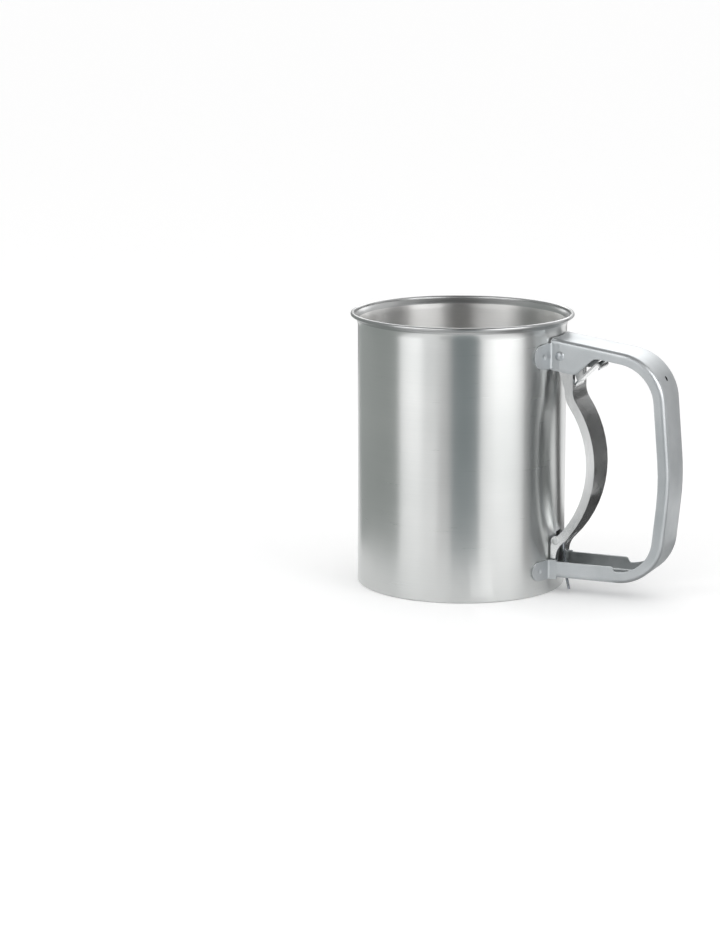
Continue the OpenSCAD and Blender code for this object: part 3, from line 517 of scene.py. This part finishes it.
spine = evenPoints(roundPath(handle["line"], stepDeg=2.5), handle["step"])
inner = insetLine(handle["line"], handle["flange"])
flangeEdge = roundPath(handle["ear"] + inner[1:-1] + handle["channel"])
halfWide, fold = handle["wide"] / 2, handle["fold"]
flangeSteps, foldSteps, webSteps = 7, 6, 10
acrossSteps = 2 * (flangeSteps + foldSteps) + webSteps
sideways = [rightSide(spine, i) for i in range(len(spine))]
depths = [reachTo(p, n, flangeEdge) or handle["flange"] for p, n in zip(spine, sideways)]


def foldedAcross(j, depth):                 # place across the strip: side and depth of its outer face
    mirror = -1 if j <= acrossSteps / 2 else 1
    k = min(j, acrossSteps - j)
    if k <= flangeSteps:
        return mirror * halfWide, depth + (fold - depth) * k / flangeSteps
    if k <= flangeSteps + foldSteps:
        turn = math.pi / 2 * (k - flangeSteps) / foldSteps
        return mirror * (halfWide - fold + fold * math.cos(turn)), fold - fold * math.sin(turn)
    web = (k - flangeSteps - foldSteps) / (webSteps / 2)
    return mirror * (halfWide - fold) * (1 - web), 0


def strapPoint(i, j):
    side, depth = foldedAcross(j, depths[i])
    spot = spine[i] + depth * sideways[i]
    return spot.x, side, spot.y


strap = layGrid("handleStrap", len(spine) - 1, acrossSteps, strapPoint)
crest = max(range(len(strap.data.polygons)), key=lambda k: strap.data.polygons[k].center.x)
faceOut(strap, crest, Vector((1, 0, 0)))
strap.data.materials.append(handleSteel)
strap.data.materials.append(channelPaintedShade)
# the inner face of the strip takes the channel's painted shade (material offset 1)
work(strap, "SOLIDIFY", thickness=handle["sheet"] * mm, offset=-1, use_even_offset=True, material_offset=1)
work(strap, "BEVEL", width=handle["edge"] * mm, segments=2, limit_method="ANGLE",
     angle_limit=math.radians(handle["edgeDeg"]))
alongX, alongY = (0, math.pi / 2, 0), (math.pi / 2, 0, 0)
lap, relief, pivot, bendHole, armSlot = (handle[k] for k in ("lap", "relief", "pivot", "bendHole", "slot"))
# clear of the cup's wall, a gap at the end of the upper arm, the rivet's holes and the hole in the bend
boreOut(strap, lap["r"], lap["tall"], cup["steps"])
boreOut(strap, relief["r"], relief["tall"], cup["steps"], (0, 0, relief["low"] + relief["tall"] / 2))
boreOut(strap, pivot["r"], pivot["deep"], pivot["sides"], (pivot["x"], 0, pivot["z"]), alongY)
boreOut(strap, bendHole["r"], bendHole["deep"], bendHole["sides"], (bendHole["x"], 0, bendHole["z"]), alongX)
putDown()
bpy.ops.mesh.primitive_cube_add(
    size=1, location=((armSlot["from"] + armSlot["to"]) / 2 * mm, 0, handle["line"][-1][1] * mm),
    scale=((armSlot["to"] - armSlot["from"]) * mm, armSlot["wide"] * mm, armSlot["deep"] * mm))
cutter = bpy.context.object
bpy.ops.object.transform_apply(location=False, rotation=False, scale=True)
bpy.ops.object.mode_set(mode="EDIT")
bpy.ops.mesh.select_all(action="DESELECT")
putDown()
for edge in cutter.data.edges:              # the upright edges, for the slot's round corners
    a, b = (cutter.data.vertices[k].co for k in edge.vertices)
    edge.select = abs(a.z - b.z) > armSlot["deep"] / 2 * mm
takeUp(cutter)
bpy.ops.object.mode_set(mode="EDIT")
bpy.ops.mesh.select_mode(type="EDGE")
bpy.ops.mesh.bevel(offset=armSlot["corner"] * mm, segments=6)
putDown()
cutAway(strap, cutter)

# tabs: the sheet turns out from the ears and lies on the cup
tabs = {"upper": {"z": 114.9, "r": 6.0}, "lower": {"z": 12.05, "r": 4.6}}
tabFit = {"reach": 23.1, "fold": 1.5, "foldPoints": 6, "root": 53.4, "ear": 12.03, "across": 24,
          "stepDeg": 0.5, "edge": 0.2, "edgeDeg": 55}
weld = {"wide": 1.5, "deep": 0.35}          # dimple of the spot weld, at the middle of the tab's round end
tabR = lap["r"] + handle["sheet"]
tabTip = -math.degrees(math.asin(tabFit["reach"] / tabR))
tabRoot = -math.degrees(math.asin(tabFit["ear"] / tabR))
onCup = arcPoints(0, 0, tabR, tabRoot, tabTip, tabFit["stepDeg"])
plan = roundPath([(tabFit["root"], -tabFit["ear"], 0), (onCup[0].x, onCup[0].y, tabFit["fold"])]
                 + [(p.x, p.y, 0) for p in onCup[tabFit["foldPoints"]:]], stepDeg=12)
tipY = -plan[-1].y
for tab in tabs.values():
    for side in (1, -1):
        def tabPoint(i, j, tab=tab, side=side):
            spot = plan[i]
            past = -spot.y - (tipY - tab["r"])                  # past the middle of the round end
            tall = math.sqrt(max(0, tab["r"] ** 2 - max(0, past) ** 2))
            rise = tall * (2 * j / tabFit["across"] - 1)
            off = math.hypot(past, rise) / weld["wide"]
            dip = weld["deep"] / 2 * (1 + math.cos(math.pi * min(off, 1)))
            spot = spot * (1 - dip / spot.length)
            return spot.x, side * spot.y, tab["z"] + rise
        flap = layGrid("tab", len(plan) - 1, tabFit["across"], tabPoint)
        flap.data.materials.append(handleSteel)
        mergeAll(flap, outward=False)
        faceOut(flap, 0, Vector((0, -side, 0)))
        work(flap, "SOLIDIFY", thickness=handle["sheet"] * mm, offset=-1, use_even_offset=True)
        work(flap, "BEVEL", width=tabFit["edge"] * mm, segments=2, limit_method="ANGLE",
             angle_limit=math.radians(tabFit["edgeDeg"]))
        putDown()
        flap.select_set(True)
        strap.select_set(True)
        bpy.context.view_layer.objects.active = strap
        bpy.ops.object.join()
strap.data.materials.append(holeBorePaintedShade)
for face in strap.data.polygons:            # the bore of the bend hole, painted dark as shade
    off = math.hypot(face.center.y, face.center.z - bendHole["z"] * mm)
    inReach = face.center.x > (bendHole["x"] - bendHole["deep"] / 2) * mm
    if inReach and off < bendHole["r"] * bendHole["within"] * mm:
        face.material_index = 2
smoothFaces(strap, angle=40)
handIn(strap, "cup", None, "handle")


# pieces whose solid has the right form: a copy, merged and with its edges eased
dress = {"flatDeg": 0.6, "sharpDeg": 35, "segments": 2}


def dressCopy(name, node, body, material, easeMm=0.2):
    piece = bpy.data.objects.new(name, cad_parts[node].data.copy())
    piece.data.name = name
    scene.collection.objects.link(piece)
    takeUp(piece)
    bpy.ops.mesh.customdata_custom_splitnormals_clear()
    bpy.ops.object.mode_set(mode="EDIT")
    bpy.ops.mesh.select_all(action="SELECT")
    bpy.ops.mesh.remove_doubles(threshold=mergeGap)
    bpy.ops.mesh.mark_sharp(clear=True)
    bpy.ops.mesh.dissolve_limited(angle_limit=math.radians(dress["flatDeg"]))
    putDown()
    work(piece, "BEVEL", width=easeMm * mm, segments=dress["segments"], limit_method="ANGLE",
         angle_limit=math.radians(dress["sharpDeg"]))
    smoothFaces(piece, dress["sharpDeg"])
    work(piece, "WEIGHTED_NORMAL", mode="FACE_AREA", keep_sharp=True)       # flat faces stay flat
    handIn(piece, body, material, node)


dressCopy("triggerBow", "trigger", "trigger", triggerSteel, 0.3)
dressCopy("rotorWheel", "rotor_wheel", "rotor", wheelSteel, 0.3)
dressCopy("hubDisc", "hub_disc", "rotor", wheelSteel, 0.25)
dressCopy("axlePin", "axle", "rotor", bearingSteel, 0.25)
dressCopy("axleWasher", "axle_washer", "rotor", bearingSteel)
dressCopy("rotorSpacer", "rotor_spacer", "rotor", bearingSteel)
dressCopy("bearingBush", "bearing_bush", "cup", bearingSteel)
dressCopy("backingWasher", "backing_washer", "cup", bearingSteel)
dressCopy("seatRing", "screen_seat_ring", "cup", ringSteel)
dressCopy("clampRing", "screen_clamp_ring", "cup", ringSteel)
dressCopy("pivotRivet", "pivot_pin", "cup", rivetSteel, 0.1)
dressCopy("pivotWasherNear", "pivot_washer_near", "cup", rivetSteel, 0.1)
dressCopy("pivotWasherFar", "pivot_washer_far", "cup", rivetSteel, 0.1)
dressCopy("linkPin", "link_pin", "trigger", pinSteel, 0.08)
dressCopy("linkCollarNear", "link_collar_near", "trigger", rivetSteel, 0.08)
dressCopy("linkCollarFar", "link_collar_far", "trigger", rivetSteel, 0.08)
dressCopy("driveLink", "drive_link", "link", linkSteel)
dressCopy("drivePeg", "drive_peg", "link", linkSteel, 0.15)


def bentWire(name, routes, thickMm, roundness):     # round wire along one or more routes, as one mesh
    curve = bpy.data.curves.new(name, "CURVE")
    curve.dimensions = "3D"
    curve.bevel_depth = thickMm / 2 * mm
    curve.bevel_resolution = roundness
    curve.use_fill_caps = True
    for route in routes:
        strand = curve.splines.new("POLY")
        strand.points.add(len(route) - 1)
        for point, spot in zip(strand.points, route):
            point.co = (*(Vector(spot) * mm), 1)
    piece = bpy.data.objects.new(name, curve)
    scene.collection.objects.link(piece)
    takeUp(piece)
    bpy.ops.object.convert(target="MESH")
    bpy.ops.object.shade_smooth()
    return bpy.context.object


# return spring: tail, long leg, coil on the pivot and short leg under the upper arm;
# the bow and the neck are arcs of centre x and z, radius and two angles
spring = {"wire": 1.3, "coilR": 2.6, "coilLong": 9.5, "turns": 4.25, "perTurn": 28, "bend": 2.5,
          "tail": [(56.8, -3, 1.0), (54.6, -1.2, 7.25), (54.6, -1.2, 9.85), (54.23, -4.75, 21.55),
                   (54.23, -4.75, 28.0)],
          "bow": (17.33, 62.22, 51.62, -30, 34.7), "neck": (69.6, 98.4, 11.95, 214.7, 180),
          "underCoil": (51, -4.75, 112.3), "shortLeg": (66, 4.75, 119.0)}


def easedRoute(corners, radius, steps=6):           # straight runs with rounded corners in space
    out = [Vector(corners[0])]
    for a, b, c in zip(corners, corners[1:], corners[2:]):
        a, b, c = Vector(a), Vector(b), Vector(c)
        back = min(radius, (a - b).length / 2, (c - b).length / 2)
        p, q = b + (a - b).normalized() * back, b + (c - b).normalized() * back
        for k in range(steps + 1):
            t = k / steps
            out.append(p.lerp(b, t).lerp(b.lerp(q, t), t))
    return out + [Vector(corners[-1])]


coilStart = Vector((pivot["x"] - spring["coilR"], -spring["coilLong"] / 2, pivot["z"]))
# inside the trigger's channel
inBow = arcPoints(*spring["bow"], stepDeg=6) + arcPoints(*spring["neck"], stepDeg=10)
legPoints = [(p.x, coilStart.y, p.y) for p in inBow]
route = easedRoute(spring["tail"] + legPoints + [spring["underCoil"], coilStart], spring["bend"])
coilSteps = round(spring["turns"] * spring["perTurn"])
for k in range(1, coilSteps + 1):
    turn = math.pi - 2 * math.pi * spring["turns"] * k / coilSteps
    route.append(Vector((pivot["x"] + spring["coilR"] * math.cos(turn),
                         -spring["coilLong"] / 2 + spring["coilLong"] * k / coilSteps,
                         pivot["z"] + spring["coilR"] * math.sin(turn))))
route.append(Vector(spring["shortLeg"]))
springPiece = bentWire("returnSpring", [route], spring["wire"], roundness=4)
handIn(springPiece, None, springWire, "return_spring")
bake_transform(springPiece)


# net: two sets of wires over and under each other, inside the clamp ring and clear of the bush;
# the pitch is drawn as coarse as it needs to show
net = {"pitch": 1.5, "wire": 0.42, "radius": 48.2, "eye": 3.9, "z": 11.8, "lift": 0.17, "perCell": 2}
strands = []
wires = int(net["radius"] / net["pitch"])
for axis in (0, 1):
    for n in range(-wires, wires + 1):
        across = n * net["pitch"]
        reach = math.sqrt(net["radius"] ** 2 - across ** 2)
        cells = int(reach / net["pitch"] * net["perCell"])
        runs = [range(-cells, cells + 1)]
        if abs(across) < net["eye"]:
            clear = math.ceil(math.sqrt(net["eye"] ** 2 - across ** 2) / net["pitch"] * net["perCell"])
            runs = [range(-cells, -clear + 1), range(clear, cells + 1)]
        for run in runs:
            strand = []
            for k in run:
                s = k * net["pitch"] / net["perCell"]
                wave = math.cos(math.pi * k / net["perCell"]) * (-1) ** (n + axis)
                z = net["z"] + net["lift"] * wave
                strand.append((s, across, z) if axis == 0 else (across, s, z))
            if len(strand) > 1:
                strands.append(strand)
netPiece = bentWire("screenNet", strands, net["wire"], roundness=0)
handIn(netPiece, "cup", netWire, "screen_mesh")
